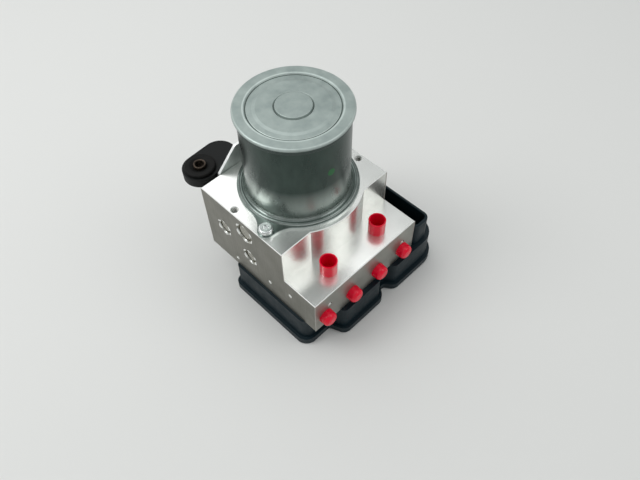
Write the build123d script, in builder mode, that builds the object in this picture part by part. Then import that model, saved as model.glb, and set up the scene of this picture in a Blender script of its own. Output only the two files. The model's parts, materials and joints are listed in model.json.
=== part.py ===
"""Hydraulic brake control unit: valve block, pump motor, control box and rubber-mounted bracket.

The origin lies on the motor's axis, on the face that the unit stands on. +Z runs up the motor's
axis, -Y is the side with the wheel ports and +X is the side with the electrical socket.
All sizes are in millimetres.
"""

import os
from math import acos, cos, pi, radians, sin, sqrt

from build123d import *

os.makedirs("parts", exist_ok=True)

# ---------------------------------------------------------------- clearances
running_gap = 0.03        # radial gap of a shaft or piston that moves in its bore
push_gap = 0.05           # radial gap of a piece that is pushed in and stays
loose_gap = 0.3           # gap between pieces that only stand side by side
screw_gap = 0.4           # radial gap round a screw that passes through a plate

# ---------------------------------------------------------------- control box
cover_thickness = 3.5
box_height = 28.0         # from the face it stands on up to the valve block
box_wall = 2.5
box_rim = 2.5             # how far the bottom rim stands out past the walls
box_rim_height = 3.0
box_left = 55.7           # from the motor's axis to the left edge of the rim
box_right = 78.8
box_rear = 17.8
box_front = 61.2          # to the rim's front edge beside the left lobe
lobe_front = 73.6         # to the front edge of both lobes
lobe_left_start = 27.2
lobe_left_end = 12.8
lobe_right_start = 26.8
recess_front = 66.2
lobe_slope = 5.0          # how far each lobe's flank runs along the front
seal_width = 2.0
seal_inset = 1.0          # from the block's edges to the seal
seal_front = 57.4
seal_rear = 14.4
seal_depth = 1.6
box_screw_edge = 5.7      # from the block's sides to the box's screws
box_screw_rear = 9.0
box_screw_front = 51.0
box_screw_radius = 2.5
box_screw_depth = 10.0
box_screw_head = 4.2
pillar_radius = 4.2
board_thickness = 1.6
board_seat = 2.2          # height of the pads that the circuit board stands on
pad_radius = 3.0

# ---------------------------------------------------------------- valve block
block_left = 51.2
block_right = 48.8
block_front = 67.2
block_rear = 43.3
block_height = 61.3
step_depth = 29.3         # depth of the low front step
step_height = 32.2
land_radius = 45.6        # round land under the motor flange that bulges into the step
edge_break = 0.5
block_bottom = box_height
step_top = block_bottom + step_height
block_top = block_bottom + block_height

# ports and threaded holes
wheel_port_pitch = 26.0
wheel_port_centre = -2.7
wheel_port_height = 11.0
wheel_port_radius = 4.5
wheel_port_depth = 13.0
master_port_pitch = 48.0
master_port_centre = -0.2
master_port_setback = 14.3
master_port_radius = 5.5
master_port_depth = 14.0
mount_hole_radius = 2.5
mount_hole_depth = 12.0
mount_hole_mouth = 3.0
mount_hole_left = (-47.5, 11.9)
mount_hole_right = (44.4, -14.6)
gallery_radius = 1.5
ball_radius = 1.75

# ---------------------------------------------------------------- pump
chamber_radius = 16.0
chamber_depth = 21.3
pump_below_top = 12.3     # from the block's top down to the pistons' axis
pump_height = block_top - pump_below_top
eccentric_offset = 1.0
eccentric_radius = 7.5
eccentric_width = 8.0
cam_ring_radius = 11.0
piston_radius = 4.0
piston_length = 19.0
piston_stroke = 2.0 * eccentric_offset
sleeve_radius = 6.0
closure_radius = 8.0
closure_thickness = 5.0
closure_recess = 1.2
damper_radius = 6.5
damper_depth = 14.0
damper_thickness = 3.5
damper_places = ((-2.2, 24.0), (23.3, 35.0))  # y, and height above the block's underside

# ---------------------------------------------------------------- accumulators
accumulator_pitch = 48.4
accumulator_setback = 13.5    # from the block's rear face to the accumulators' axes
accumulator_radius = 11.0
accumulator_depth = 34.0
accumulator_cap = 4.0
accumulator_stroke = 8.0
accumulator_piston = 13.0
accumulator_wire = 1.0

# ---------------------------------------------------------------- solenoid valves
valve_pitch = 24.0
valve_centre = -3.0
valve_rows = {"inlet": -40.2, "outlet": -17.2}
valve_radius = 6.0
valve_depth = 20.0
valve_nose_radius = 4.0
valve_collar_radius = 7.0
valve_collar = 1.5
dome_radius = 4.0
dome_length = 16.5
coil_radius = 8.3
coil_height = 14.0

# ---------------------------------------------------------------- motor
shaft_radius = 5.0
pilot_radius = 4.0
pilot_length = 9.0
can_radius = 36.0
can_wall = 2.0
flange_width = 6.3        # how far the flange stands out past the can
flange_thickness = 1.8
bead_spread = 3.4         # from the can's wall to the middle of the rolled bead
ear_reach = 12.6          # from the can's wall to the ears' screws
ear_radius = 5.9
ear_fairing = 20.0        # radius of the hollow curves beside the ears
ear_angles = (200.9, 37.0)
ear_screw_radius = 2.5
ear_head_radius = 4.9
ear_head_height = 3.6
lid_overlap = 2.0         # how far the lid stands out past the can
lid_height = 67.7         # height of the lid's rim above the block
lid_step = 2.7            # from the can's top edge up to the lid's rim
lid_skirt = 5.5
lid_wall = 1.8
lid_edge = 3.0            # radius of the lid's rounded rim
lid_ring_inset = 8.5      # from the lid's edge to the ring pressed into it
lid_dish_inset = 15.0
lid_press = 0.9           # depth of that ring
boss_radius = 12.0
boss_height = 0.5
boss_groove = 0.7
magnet_wall = 6.9
magnet_overhang = 4.0     # how far the magnets reach past each end of the laminations
magnet_arc = 74.0
air_gap = 0.7
core_headroom = 11.3      # from the top of the laminations to the can's top edge
core_lift = 24.7          # from the block's top to the bottom of the laminations
slot_count = 12
slot_width = 4.0
slot_depth = 9.0
winding_overhang = 6.0
commutator_radius = 11.0
commutator_length = 12.0
lower_bearing_radius = 13.0
lower_bearing_width = 8.0
upper_bearing_radius = 9.5
upper_bearing_width = 5.0
brush_plate_thickness = 3.0
brush_width = 8.0
brush_thickness = 5.0
brush_length = 11.0
contact_radius = 1.5
contact_places = ((-3.0, -21.0), (-3.0, -29.0))

# ---------------------------------------------------------------- port plugs
master_plug_radius = 6.2
master_plug_height = 11.3
master_plug_wall = 1.0
master_plug_shank = 9.0
wheel_plug_radius = 5.7
wheel_plug_dome = 3.0
wheel_plug_height = 7.0
wheel_plug_shank = 8.0

# ---------------------------------------------------------------- electrical socket
socket_gap = 1.5          # between the block's right face and the socket
socket_width = 17.0
socket_length = 48.0
socket_front = 68.2
socket_height = 22.0      # above the control box's top
socket_wall = 2.0
socket_corner = 5.5
pin_rows = 2
pin_columns = 12
pin_width = 1.2
pin_height = 11.0

# ---------------------------------------------------------------- bracket and rubber mount
plate_thickness = 2.0
plate_left = 34.5
plate_right = 22.0
plate_low = 34.0          # height of the plate's lower edge above the block's underside
plate_rise = 16.1         # how far the plate stands above the block
plate_slope = 16.8        # run of each sloping shoulder
bracket_screw_x = (-22.0, 10.0)
bracket_screw_below_top = 15.3
bracket_screw_radius = 3.0
bracket_screw_depth = 12.0
mount_x = -39.2
mount_y = 59.2
mount_rise = 2.2          # from the block's top up to the top of the rubber's upper flange
rubber_upper_radius = 11.2
rubber_lower_radius = 11.0
rubber_upper = 2.6        # how far the rubber stands out of the eye above and below
rubber_lower = 2.6
eye_radius = 12.9
eye_bore = 9.0
eye_thickness = 7.0
tube_radius = 4.5
tube_bore = 3.2
tube_stand = 1.0          # how far the steel tube stands out of the rubber
arm_radius = 12.5
arm_x = -21.2
arm_y = 60.6
arm_drop = 4.0            # how far the lobe reaches down past the eye
foot_thickness = 4.0
foot_height = 22.0


def keep(piece, name):
    """Labels a finished piece and writes it."""
    piece.part.label = name
    export_step(piece.part, f"parts/{name}.step")


def facing(x, y, z, normal):
    """A plane at a point, whose normal points out of the material."""
    return Plane(origin=(x, y, z), z_dir=normal)


def upright(x, y):
    """A plane through an upright axis, for profiles drawn as radius and height."""
    return Plane(origin=(x, y, 0), x_dir=(1, 0, 0), z_dir=(0, -1, 0))


UP = (0, 0, 1)
DOWN = (0, 0, -1)
LEFT = (-1, 0, 0)
RIGHT = (1, 0, 0)
FRONT = (0, -1, 0)
REAR = (0, 1, 0)

# ---------------------------------------------------------------- places worked out from the sizes
wheel_port_x = [wheel_port_centre + (i - 1.5) * wheel_port_pitch for i in range(4)]
wheel_port_z = block_bottom + wheel_port_height
master_port_x = [master_port_centre + (i - 0.5) * master_port_pitch for i in range(2)]
master_port_y = master_port_setback - block_front
can_top = lid_height - lid_step
core_length = can_top - core_lift - core_headroom
magnet_length = core_length + 2 * magnet_overhang
flange_radius = can_radius + flange_width
bead_radius = can_radius + bead_spread
ear_distance = can_radius + ear_reach
lid_radius = can_radius + lid_overlap
lid_ring_radius = lid_radius - lid_ring_inset
lid_dish_radius = lid_radius - lid_dish_inset
valve_x = [valve_centre + (i - 1.5) * valve_pitch for i in range(4)]
accumulator_x = [(i - 0.5) * accumulator_pitch for i in range(2)]
accumulator_y = block_rear - accumulator_setback
ears = [(ear_distance * cos(radians(a)), ear_distance * sin(radians(a)))
        for a in ear_angles]
# a fairing circle touches the round flange and the ear from outside
fairing_reach = flange_radius + ear_fairing
fairing_swing = acos(
    (ear_distance**2 + fairing_reach**2 - (ear_radius + ear_fairing)**2)
    / (2 * ear_distance * fairing_reach)
)
ear_fairings = [
    [(fairing_reach * cos(radians(a) + s), fairing_reach * sin(radians(a) + s))
     for s in (fairing_swing, -fairing_swing)]
    for a in ear_angles
]
bracket_screw_z = block_top - bracket_screw_below_top
sides = {"left": (-block_left, LEFT), "right": (block_right, RIGHT)}
box_screws = tuple((x, y) for x in (box_screw_edge - block_left, block_right - box_screw_edge)
                   for y in (box_screw_rear, -box_screw_front))

# mouths of the cross drillings: place, direction and depth
galleries = (
    (facing(-block_left, 14.1, block_bottom + 7.1, LEFT), 30.0),
    (facing(-block_left, valve_rows["outlet"] - 4.4, block_bottom + 13.0, LEFT),
     block_left + valve_x[3]),
    (facing(-block_left, valve_rows["inlet"] - 2.4, block_bottom + 18.3, LEFT),
     block_left + valve_x[3]),
    (facing(wheel_port_x[0] + 4.3, -block_front, block_bottom + 20.2, FRONT),
     block_front + valve_rows["inlet"] - valve_radius / 2),
    (facing(wheel_port_x[3] + 0.5, -block_front, block_bottom + 18.3, FRONT),
     block_front + valve_rows["inlet"] - valve_radius / 2),
)

# ================================================================ valve block
with BuildPart() as valve_block:
    with BuildSketch(Plane.XY.offset(block_bottom)):
        with Locations(((block_right - block_left) / 2, (block_rear - block_front) / 2)):
            Rectangle(block_left + block_right, block_front + block_rear)
    extrude(amount=block_height)
    # the low front step, with the round land left standing round the motor's axis
    with BuildSketch(Plane.XY.offset(step_top)):
        with Locations(((block_right - block_left) / 2, step_depth / 2 - block_front)):
            Rectangle(block_left + block_right, step_depth)
        Circle(land_radius, mode=Mode.SUBTRACT)
    extrude(amount=block_height, mode=Mode.SUBTRACT)
    top_edges = valve_block.edges().filter_by_position(Axis.Z, block_top, block_top)
    step_edges = valve_block.edges().filter_by_position(Axis.Z, step_top, step_top)
    step_rim = step_edges.filter_by(
        lambda e: abs(e.center().Y + block_front) < 0.1 or e.center().X < 0.1 - block_left
        or e.center().X > block_right - 0.1)
    chamfer(top_edges + step_rim, edge_break)
    # pump chamber with the bore for the shaft's pilot
    with Locations(facing(0, 0, block_top, UP)):
        Hole(chamber_radius, chamber_depth)
        Hole(pilot_radius + running_gap, chamber_depth + pilot_length + 1.0)
    for side_x, outward in sides.values():
        with Locations(facing(side_x, 0, pump_height, outward)):
            Hole(closure_radius, closure_thickness + closure_recess)
            Hole(sleeve_radius + push_gap, abs(side_x) - 2)
        for damper_y, damper_height in damper_places:
            with Locations(facing(side_x, damper_y, block_bottom + damper_height, outward)):
                Hole(damper_radius, damper_depth)
    # wheel ports with their feed drillings, and master cylinder ports
    for port_x in wheel_port_x:
        with Locations(facing(port_x, -block_front, wheel_port_z, FRONT)):
            Hole(wheel_port_radius, wheel_port_depth)
            Hole(gallery_radius, block_front + valve_rows["inlet"] - valve_radius / 2)
    for port_x in master_port_x:
        with Locations(facing(port_x, master_port_y, step_top, UP)):
            Hole(master_port_radius, master_port_depth)
    # valve pockets from below, with a counterbore for each collar
    for row_y in valve_rows.values():
        for pocket_x in valve_x:
            with Locations(facing(pocket_x, row_y, block_bottom, DOWN)):
                Hole(valve_collar_radius + push_gap, valve_collar)
                Hole(valve_radius + push_gap, valve_depth)
    for bore_x in accumulator_x:
        with Locations(facing(bore_x, accumulator_y, block_bottom, DOWN)):
            Hole(accumulator_radius, accumulator_depth)
    for mouth, depth in galleries:
        with Locations(mouth):
            Hole(gallery_radius, depth)
            Hole(ball_radius + push_gap, 2 * ball_radius)
    # threaded holes: bracket mounts, motor screws, box screws and bracket screws
    for hole_x, hole_y in (mount_hole_left, mount_hole_right):
        with Locations(facing(hole_x, hole_y, block_top, UP)):
            CounterSinkHole(mount_hole_radius, mount_hole_mouth, depth=mount_hole_depth)
    for ear_x, ear_y in ears:
        with Locations(facing(ear_x, ear_y, block_top, UP)):
            Hole(ear_screw_radius, mount_hole_depth)
    for screw_x, screw_y in box_screws:
        with Locations(facing(screw_x, screw_y, block_bottom, DOWN)):
            Hole(box_screw_radius, box_screw_depth + 1)
    for screw_x in bracket_screw_x:
        with Locations(facing(screw_x, block_rear, bracket_screw_z, REAR)):
            Hole(bracket_screw_radius, bracket_screw_depth + 1)
    for contact_x, contact_y in contact_places:
        with Locations(facing(contact_x, contact_y, block_top, UP)):
            Hole(contact_radius + screw_gap)
keep(valve_block, "valve_block")

# balls pressed into the mouths of the cross drillings
with BuildPart() as ball_plugs:
    for mouth, depth in galleries:
        with Locations(mouth.offset(-ball_radius)):
            Sphere(ball_radius)
keep(ball_plugs, "ball_plugs")

# turned caps that close the pump bores and the damper chambers, staked into the block
with BuildPart() as bore_closures:
    for side_x, outward in sides.values():
        for cap_y, cap_z, cap_radius, cap_thickness in (
            (0, pump_height, closure_radius, closure_thickness),
            *((y, block_bottom + z, damper_radius, damper_thickness) for y, z in damper_places),
        ):
            with BuildSketch(facing(side_x, cap_y, cap_z, outward).offset(-closure_recess)):
                Circle(cap_radius)
            extrude(amount=-cap_thickness)
            with BuildSketch(facing(side_x, cap_y, cap_z, outward).offset(-closure_recess)):
                Circle(cap_radius - 1.2)
                Circle(cap_radius - 2.6, mode=Mode.SUBTRACT)
            extrude(amount=-0.8, mode=Mode.SUBTRACT)
keep(bore_closures, "bore_closures")

# ================================================================ pump elements
for side, (side_x, outward) in sides.items():
    sleeve_outer = abs(side_x) - closure_recess - closure_thickness
    sleeve_inner = chamber_radius + 0.6
    tip = cam_ring_radius + eccentric_offset + push_gap * 2
    along = facing(0, 0, pump_height, outward)
    with BuildPart() as pump_sleeve:
        with BuildSketch(along.offset(sleeve_inner)):
            Circle(sleeve_radius)
            Circle(piston_radius + running_gap, mode=Mode.SUBTRACT)
        extrude(amount=sleeve_outer - sleeve_inner)
    keep(pump_sleeve, f"pump_sleeve_{side}")
    with BuildPart() as pump_piston:
        with BuildSketch(along.offset(tip)):
            Circle(piston_radius)
        extrude(amount=piston_length)
        # domed tip and the spring's seat on the other end
        rims = pump_piston.edges().filter_by(GeomType.CIRCLE)
        fillet(rims.sort_by_distance((0, 0, pump_height))[0], 1.2)
        with BuildSketch(along.offset(tip + piston_length)):
            Circle(piston_radius - 1.6)
        extrude(amount=2.0)
    keep(pump_piston, f"pump_piston_{side}")
    spring_start = tip + piston_length
    spring_room = sleeve_outer - piston_stroke - loose_gap - spring_start
    spring_wire = 0.5
    spring_radius = piston_radius - spring_wire - 0.35
    with BuildPart() as pump_spring:
        with BuildLine():
            coil = Helix(
                pitch=(spring_room - 2 * spring_wire) / 4,
                height=spring_room - 2 * spring_wire,
                radius=spring_radius,
                center=along.offset(spring_start + spring_wire).origin,
                direction=outward,
            )
        with BuildSketch(Plane(origin=coil @ 0, z_dir=coil % 0)):
            RegularPolygon(spring_wire, 6)
        sweep(is_frenet=True)
    keep(pump_spring, f"pump_spring_{side}")

# ================================================================ accumulators
seal_groove = 1.6
for side, bore_x in zip(sides, accumulator_x):
    bore_axis = Axis((bore_x, accumulator_y, 0), UP)
    piston_out = accumulator_radius - running_gap
    piston_base = block_bottom + accumulator_depth - accumulator_piston - 1.0
    groove_base = piston_base + 6.0
    with BuildPart() as accumulator_cup:
        with BuildSketch(upright(bore_x, accumulator_y)):
            with BuildLine():
                Polyline(
                    (0, piston_base + 4.0),
                    (piston_out - 2.5, piston_base + 4.0),
                    (piston_out - 2.5, piston_base),
                    (piston_out, piston_base),
                    (piston_out, groove_base),
                    (piston_out - seal_groove, groove_base),
                    (piston_out - seal_groove, groove_base + 2.6),
                    (piston_out, groove_base + 2.6),
                    (piston_out, piston_base + accumulator_piston),
                    (0, piston_base + accumulator_piston),
                    close=True,
                )
            make_face()
        revolve(axis=bore_axis)
    keep(accumulator_cup, f"accumulator_piston_{side}")

    with BuildPart() as accumulator_seal:
        with BuildSketch(upright(bore_x, accumulator_y)):
            with Locations((piston_out - seal_groove / 2 - 0.05, groove_base + 1.3)):
                RectangleRounded(seal_groove - 0.1, 2.4, 0.5)
        revolve(axis=bore_axis)
    keep(accumulator_seal, f"accumulator_seal_{side}")

    spring_base = block_bottom + accumulator_cap
    spring_height = piston_base + 4.0 - spring_base - 2 * accumulator_wire
    coil_mean = piston_out - 2.5 - accumulator_wire - 0.5
    coil_start = (bore_x, accumulator_y, spring_base + accumulator_wire)
    with BuildPart() as accumulator_spring:
        with BuildLine():
            Helix(pitch=spring_height / 4, height=spring_height, radius=coil_mean, center=coil_start)
        with BuildSketch(Plane(origin=Vector(coil_start) + (coil_mean, 0, 0), z_dir=(0, 1, 0))):
            RegularPolygon(accumulator_wire, 6)
        sweep(is_frenet=True)
    keep(accumulator_spring, f"accumulator_spring_{side}")

with BuildPart() as accumulator_caps:
    for bore_x in accumulator_x:
        with BuildSketch(Plane.XY.offset(block_bottom + 0.5)):
            with Locations((bore_x, accumulator_y)):
                Circle(accumulator_radius - push_gap)
        extrude(amount=accumulator_cap - 0.5)
        with BuildSketch(Plane.XY.offset(block_bottom + 0.5)):
            with Locations((bore_x, accumulator_y)):
                Circle(accumulator_radius - 2.5)
                Circle(2.5, mode=Mode.SUBTRACT)
        extrude(amount=1.2, mode=Mode.SUBTRACT)
keep(accumulator_caps, "accumulator_caps")

# ================================================================ solenoid valves and their coils
for row, row_y in valve_rows.items():
    for number, pocket_x in enumerate(valve_x, start=1):
        nose_base = block_bottom + valve_depth - 5.0
        with BuildPart() as valve:
            with BuildSketch(upright(pocket_x, row_y)):
                with BuildLine():
                    Polyline(
                        (0, block_bottom - dome_length),
                        (dome_radius - 1.5, block_bottom - dome_length),
                        (dome_radius, block_bottom - dome_length + 1.5),
                        (dome_radius, block_bottom),
                        (valve_collar_radius, block_bottom),
                        (valve_collar_radius, block_bottom + valve_collar),
                        (valve_radius, block_bottom + valve_collar),
                        (valve_radius, nose_base),
                        (valve_nose_radius, nose_base + 1.0),
                        (valve_nose_radius, nose_base + 4.6),
                        (0, nose_base + 4.6),
                        close=True,
                    )
                make_face()
            revolve(axis=Axis((pocket_x, row_y, 0), UP))
        keep(valve, f"{row}_valve_{number}")

box_top_wall = 3.0
coil_top = block_bottom - box_top_wall
for row, row_y in valve_rows.items():
    with BuildPart() as coils:
        with BuildSketch(Plane.XY.offset(coil_top)):
            with Locations(*((x, row_y) for x in valve_x)):
                Circle(coil_radius)
                Circle(dome_radius + loose_gap, mode=Mode.SUBTRACT)
        extrude(amount=-coil_height)
        # winding space between the bobbin's two end plates
        with BuildSketch(Plane.XY.offset(coil_top - 1.5)):
            with Locations(*((x, row_y) for x in valve_x)):
                Circle(coil_radius)
                Circle(coil_radius - 0.8, mode=Mode.SUBTRACT)
        extrude(amount=3.0 - coil_height, mode=Mode.SUBTRACT)
    keep(coils, f"{row}_coils")

# ================================================================ pump motor
can_base = block_top
lid_top = block_top + lid_height
with BuildPart() as motor_can:
    with BuildSketch(Plane.XY.offset(can_base)):
        Circle(flange_radius)
        with Locations(*ears):
            Circle(ear_radius)
        # hollow curves fair the ears into the round flange
        for ear, fairings in zip(ears, ear_fairings):
            with BuildLine():
                Polyline((0, 0), fairings[0], ear, fairings[1], close=True)
            make_face()
            with Locations(*fairings):
                Circle(ear_fairing, mode=Mode.SUBTRACT)
        Circle(can_radius - can_wall, mode=Mode.SUBTRACT)
    extrude(amount=flange_thickness)
    fillet(motor_can.edges().group_by(Axis.Z)[-1].sort_by(SortBy.LENGTH)[:-1], 0.5)
    # rolled bead and drawn wall
    with BuildSketch(Plane.XZ):
        with BuildLine():
            bead_low = can_base + flange_thickness
            Polyline(
                (can_radius - can_wall, can_base + flange_thickness / 2),
                (bead_radius + 1.6, can_base + flange_thickness / 2),
                (bead_radius + 1.6, bead_low),
            )
            ThreePointArc(
                (bead_radius + 1.6, bead_low),
                (bead_radius, bead_low + 1.6),
                (bead_radius - 1.6, bead_low),
            )
            Line((bead_radius - 1.6, bead_low), (bead_radius - 2.1, bead_low + 0.2))
            RadiusArc((bead_radius - 2.1, bead_low + 0.2), (can_radius, bead_low + 2.6), 2.5)
            Polyline(
                (can_radius, bead_low + 2.6),
                (can_radius, can_base + can_top),
                (can_radius - can_wall, can_base + can_top),
                (can_radius - can_wall, can_base + flange_thickness / 2),
            )
        make_face()
    revolve(axis=Axis.Z)
    with Locations(*(facing(x, y, can_base + flange_thickness, UP) for x, y in ears)):
        Hole(ear_screw_radius + screw_gap, 2 * flange_thickness)
keep(motor_can, "motor_can")

with BuildPart() as motor_screws:
    head_base = can_base + flange_thickness
    for ear_x, ear_y in ears:
        with BuildSketch(Plane.XY.offset(head_base)):
            with Locations((ear_x, ear_y)):
                Circle(ear_head_radius)
        extrude(amount=ear_head_height)
        with BuildSketch(Plane.XY.offset(head_base)):
            with Locations((ear_x, ear_y)):
                Circle(ear_screw_radius - push_gap)
        extrude(amount=-(mount_hole_depth - 1))
    fillet(motor_screws.edges().filter_by(GeomType.CIRCLE).group_by(Axis.Z)[-1], 1.2)
    # six-lobed drive recess
    with BuildSketch(Plane.XY.offset(head_base + ear_head_height)):
        for ear_x, ear_y in ears:
            with Locations((ear_x, ear_y)):
                Circle(1.9)
                with PolarLocations(1.9, 6):
                    Circle(0.55)
    extrude(amount=-2.0, mode=Mode.SUBTRACT)
keep(motor_screws, "motor_screws")

with BuildPart() as motor_lid:
    with BuildSketch(Plane.XZ):
        with BuildLine():
            Polyline(
                (can_radius + push_gap, lid_top - lid_skirt),
                (lid_radius - 0.4, lid_top - lid_skirt),
                (lid_radius, lid_top - lid_skirt + 0.6),
                (lid_radius, lid_top - lid_edge),
            )
            ThreePointArc(
                (lid_radius, lid_top - lid_edge),
                (lid_radius - lid_edge * (1 - sqrt(0.5)), lid_top - lid_edge * (1 - sqrt(0.5))),
                (lid_radius - lid_edge, lid_top),
            )
            # the pressed ring: a short step down, then a shallow valley up to the plateau
            Polyline(
                (lid_radius - lid_edge, lid_top),
                (lid_ring_radius + 0.8, lid_top - 0.1),
                (lid_ring_radius, lid_top - lid_press),
            )
            ThreePointArc(
                (lid_ring_radius, lid_top - lid_press),
                ((lid_ring_radius + lid_dish_radius) / 2, lid_top - 0.8 * lid_press),
                (lid_dish_radius, lid_top - 0.2),
            )
            # a fine groove parts the boss from the plateau
            Polyline(
                (lid_dish_radius, lid_top - 0.2),
                (boss_radius + boss_groove, lid_top - 0.2),
                (boss_radius + 0.6 * boss_groove, lid_top - boss_groove),
                (boss_radius + 0.2 * boss_groove, lid_top - boss_groove),
                (boss_radius, lid_top + boss_height - 0.3),
                (boss_radius - 0.4, lid_top + boss_height),
            )
            Polyline(
                (boss_radius - 0.4, lid_top + boss_height),
                (0, lid_top + boss_height + 0.1),
                (0, lid_top + boss_height - lid_wall),
                (upper_bearing_radius + push_gap, lid_top + boss_height - lid_wall),
                (upper_bearing_radius + push_gap, lid_top - lid_wall - 2.0),
                (upper_bearing_radius + 2.0, lid_top - lid_wall - 2.0),
                (upper_bearing_radius + 2.0, lid_top - lid_wall - 1.0),
                (can_radius - can_wall - 1.0, lid_top - lid_wall - 1.0),
                (can_radius - can_wall - 1.0, can_base + can_top),
                (can_radius + push_gap, can_base + can_top),
                close=False,
            )
            Line((can_radius + push_gap, can_base + can_top), (can_radius + push_gap, lid_top - lid_skirt))
        make_face()
    revolve(axis=Axis.Z)
keep(motor_lid, "motor_lid")

# shaft with the eccentric and the pilot that runs in the block
core_base = can_base + core_lift
core_radius = can_radius - can_wall - magnet_wall - air_gap
shaft_top = lid_top + boss_height - lid_wall - 0.5
eccentric_base = pump_height - eccentric_width / 2
with BuildPart() as motor_shaft:
    with BuildSketch(Plane.XY.offset(can_base - chamber_depth - pilot_length)):
        Circle(pilot_radius)
    extrude(amount=pilot_length + 2.0)
    with BuildSketch(Plane.XY.offset(can_base - chamber_depth + 1.0)):
        Circle(pilot_radius + 2.0)
    extrude(amount=eccentric_base - (can_base - chamber_depth + 1.0))
    with BuildSketch(Plane.XY.offset(eccentric_base)):
        with Locations((0, eccentric_offset)):
            Circle(eccentric_radius)
    extrude(amount=eccentric_width)
    with BuildSketch(Plane.XY.offset(eccentric_base + eccentric_width)):
        Circle(shaft_radius - running_gap)
    extrude(amount=shaft_top - eccentric_base - eccentric_width)
    chamfer(motor_shaft.edges().filter_by(GeomType.CIRCLE).group_by(Axis.Z)[-1], 0.6)
keep(motor_shaft, "motor_shaft")

with BuildPart() as cam_ring:
    with BuildSketch(Plane.XY.offset(eccentric_base + 0.2)):
        with Locations((0, eccentric_offset)):
            Circle(cam_ring_radius)
            Circle(eccentric_radius + running_gap, mode=Mode.SUBTRACT)
    extrude(amount=eccentric_width - 0.4)
keep(cam_ring, "cam_ring")

with BuildPart() as rotor_core:
    with BuildSketch(Plane.XY.offset(core_base)):
        Circle(core_radius)
        Circle(shaft_radius, mode=Mode.SUBTRACT)
        with PolarLocations(core_radius - slot_depth / 2, slot_count):
            Rectangle(slot_depth + 0.5, slot_width, mode=Mode.SUBTRACT)
    extrude(amount=core_length)
keep(rotor_core, "rotor_core")

with BuildPart() as rotor_winding:
    slot_fill = core_radius - slot_depth / 2
    with BuildSketch(Plane.XY.offset(core_base - loose_gap - winding_overhang)):
        Circle(core_radius - 1.5)
        Circle(commutator_radius, mode=Mode.SUBTRACT)
    extrude(amount=winding_overhang)
    with BuildSketch(Plane.XY.offset(core_base + core_length + loose_gap)):
        Circle(core_radius - 1.5)
        Circle(commutator_radius - 2.0, mode=Mode.SUBTRACT)
    extrude(amount=winding_overhang)
    fillet(rotor_winding.edges().filter_by(GeomType.CIRCLE).group_by(SortBy.RADIUS)[-1], 1.5)
    with BuildSketch(Plane.XY.offset(core_base - 2.0)):
        with PolarLocations(slot_fill - 0.2, slot_count):
            Rectangle(slot_depth - 2.0, slot_width - 0.4)
    extrude(amount=core_length + 4.0)
keep(rotor_winding, "rotor_winding")

commutator_base = core_base - winding_overhang - loose_gap - commutator_length + 2.0
with BuildPart() as commutator:
    with BuildSketch(Plane.XY.offset(commutator_base)):
        Circle(commutator_radius - 0.3)
        Circle(shaft_radius, mode=Mode.SUBTRACT)
        with PolarLocations(commutator_radius - 0.3, slot_count):
            Rectangle(2.0, 0.6, mode=Mode.SUBTRACT)
    extrude(amount=commutator_length)
keep(commutator, "commutator")

with BuildPart() as magnets:
    with BuildSketch(Plane.XY.offset(core_base + core_length / 2 - magnet_length / 2)):
        Circle(can_radius - can_wall - 0.02)
        Circle(can_radius - can_wall - magnet_wall, mode=Mode.SUBTRACT)
        with PolarLocations(can_radius - can_wall - magnet_wall / 2, 4, start_angle=45):
            Rectangle(2 * magnet_wall, (90 - magnet_arc) / 180 * pi * can_radius,
                      mode=Mode.SUBTRACT)
    extrude(amount=magnet_length)
keep(magnets, "magnets")

# moulded plate that closes the can: it holds the lower bearing, the brushes and the contacts
plate_base = can_base
spigot = 4.5
bearing_top = can_base - spigot + 1.0 + lower_bearing_width
with BuildPart() as brush_plate:
    with BuildSketch(Plane.XY.offset(plate_base)):
        Circle(can_radius - can_wall - push_gap)
    extrude(amount=brush_plate_thickness)
    with BuildSketch(Plane.XY.offset(plate_base)):
        Circle(chamber_radius - push_gap)
    extrude(amount=-spigot)
    # brush boxes
    with BuildSketch(Plane.XY.offset(plate_base + brush_plate_thickness)):
        with Locations(*((0, s * (commutator_radius + 1.0 + brush_length / 2)) for s in (-1, 1))):
            Rectangle(brush_thickness + 3.0, brush_length - 1.0)
    extrude(amount=commutator_base - plate_base - brush_plate_thickness + commutator_length - 2.8)
    with BuildSketch(Plane.XZ):
        with Locations((0, commutator_base + commutator_length / 2 - 1.0)):
            Rectangle(brush_thickness + 2 * push_gap, brush_width + 2 * push_gap)
    extrude(amount=can_radius, both=True, mode=Mode.SUBTRACT)
    with Locations(facing(0, 0, bearing_top, UP)):
        Hole(lower_bearing_radius + push_gap, lower_bearing_width)
        Hole(shaft_radius + 2.5, 2 * lower_bearing_width)
    with Locations(*(facing(x, y, plate_base + brush_plate_thickness, UP) for x, y in contact_places)):
        Hole(contact_radius + push_gap, 2 * brush_plate_thickness)
keep(brush_plate, "brush_plate")

for name, s in (("brush_front", -1), ("brush_rear", 1)):
    with BuildPart() as brush:
        with BuildSketch(Plane.XZ.offset(-s * commutator_radius)):
            with Locations((0, commutator_base + commutator_length / 2 - 1.0)):
                Rectangle(brush_thickness, brush_width)
        extrude(amount=-s * brush_length)
    keep(brush, name)

with BuildPart() as lower_bearing:
    with BuildSketch(Plane.XY.offset(bearing_top - lower_bearing_width)):
        Circle(lower_bearing_radius)
        Circle(shaft_radius, mode=Mode.SUBTRACT)
    extrude(amount=lower_bearing_width)
keep(lower_bearing, "lower_bearing")

with BuildPart() as upper_bearing:
    with BuildSketch(Plane.XY.offset(lid_top + boss_height - lid_wall)):
        Circle(upper_bearing_radius)
        Circle(shaft_radius, mode=Mode.SUBTRACT)
    extrude(amount=-upper_bearing_width)
keep(upper_bearing, "upper_bearing")

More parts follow.
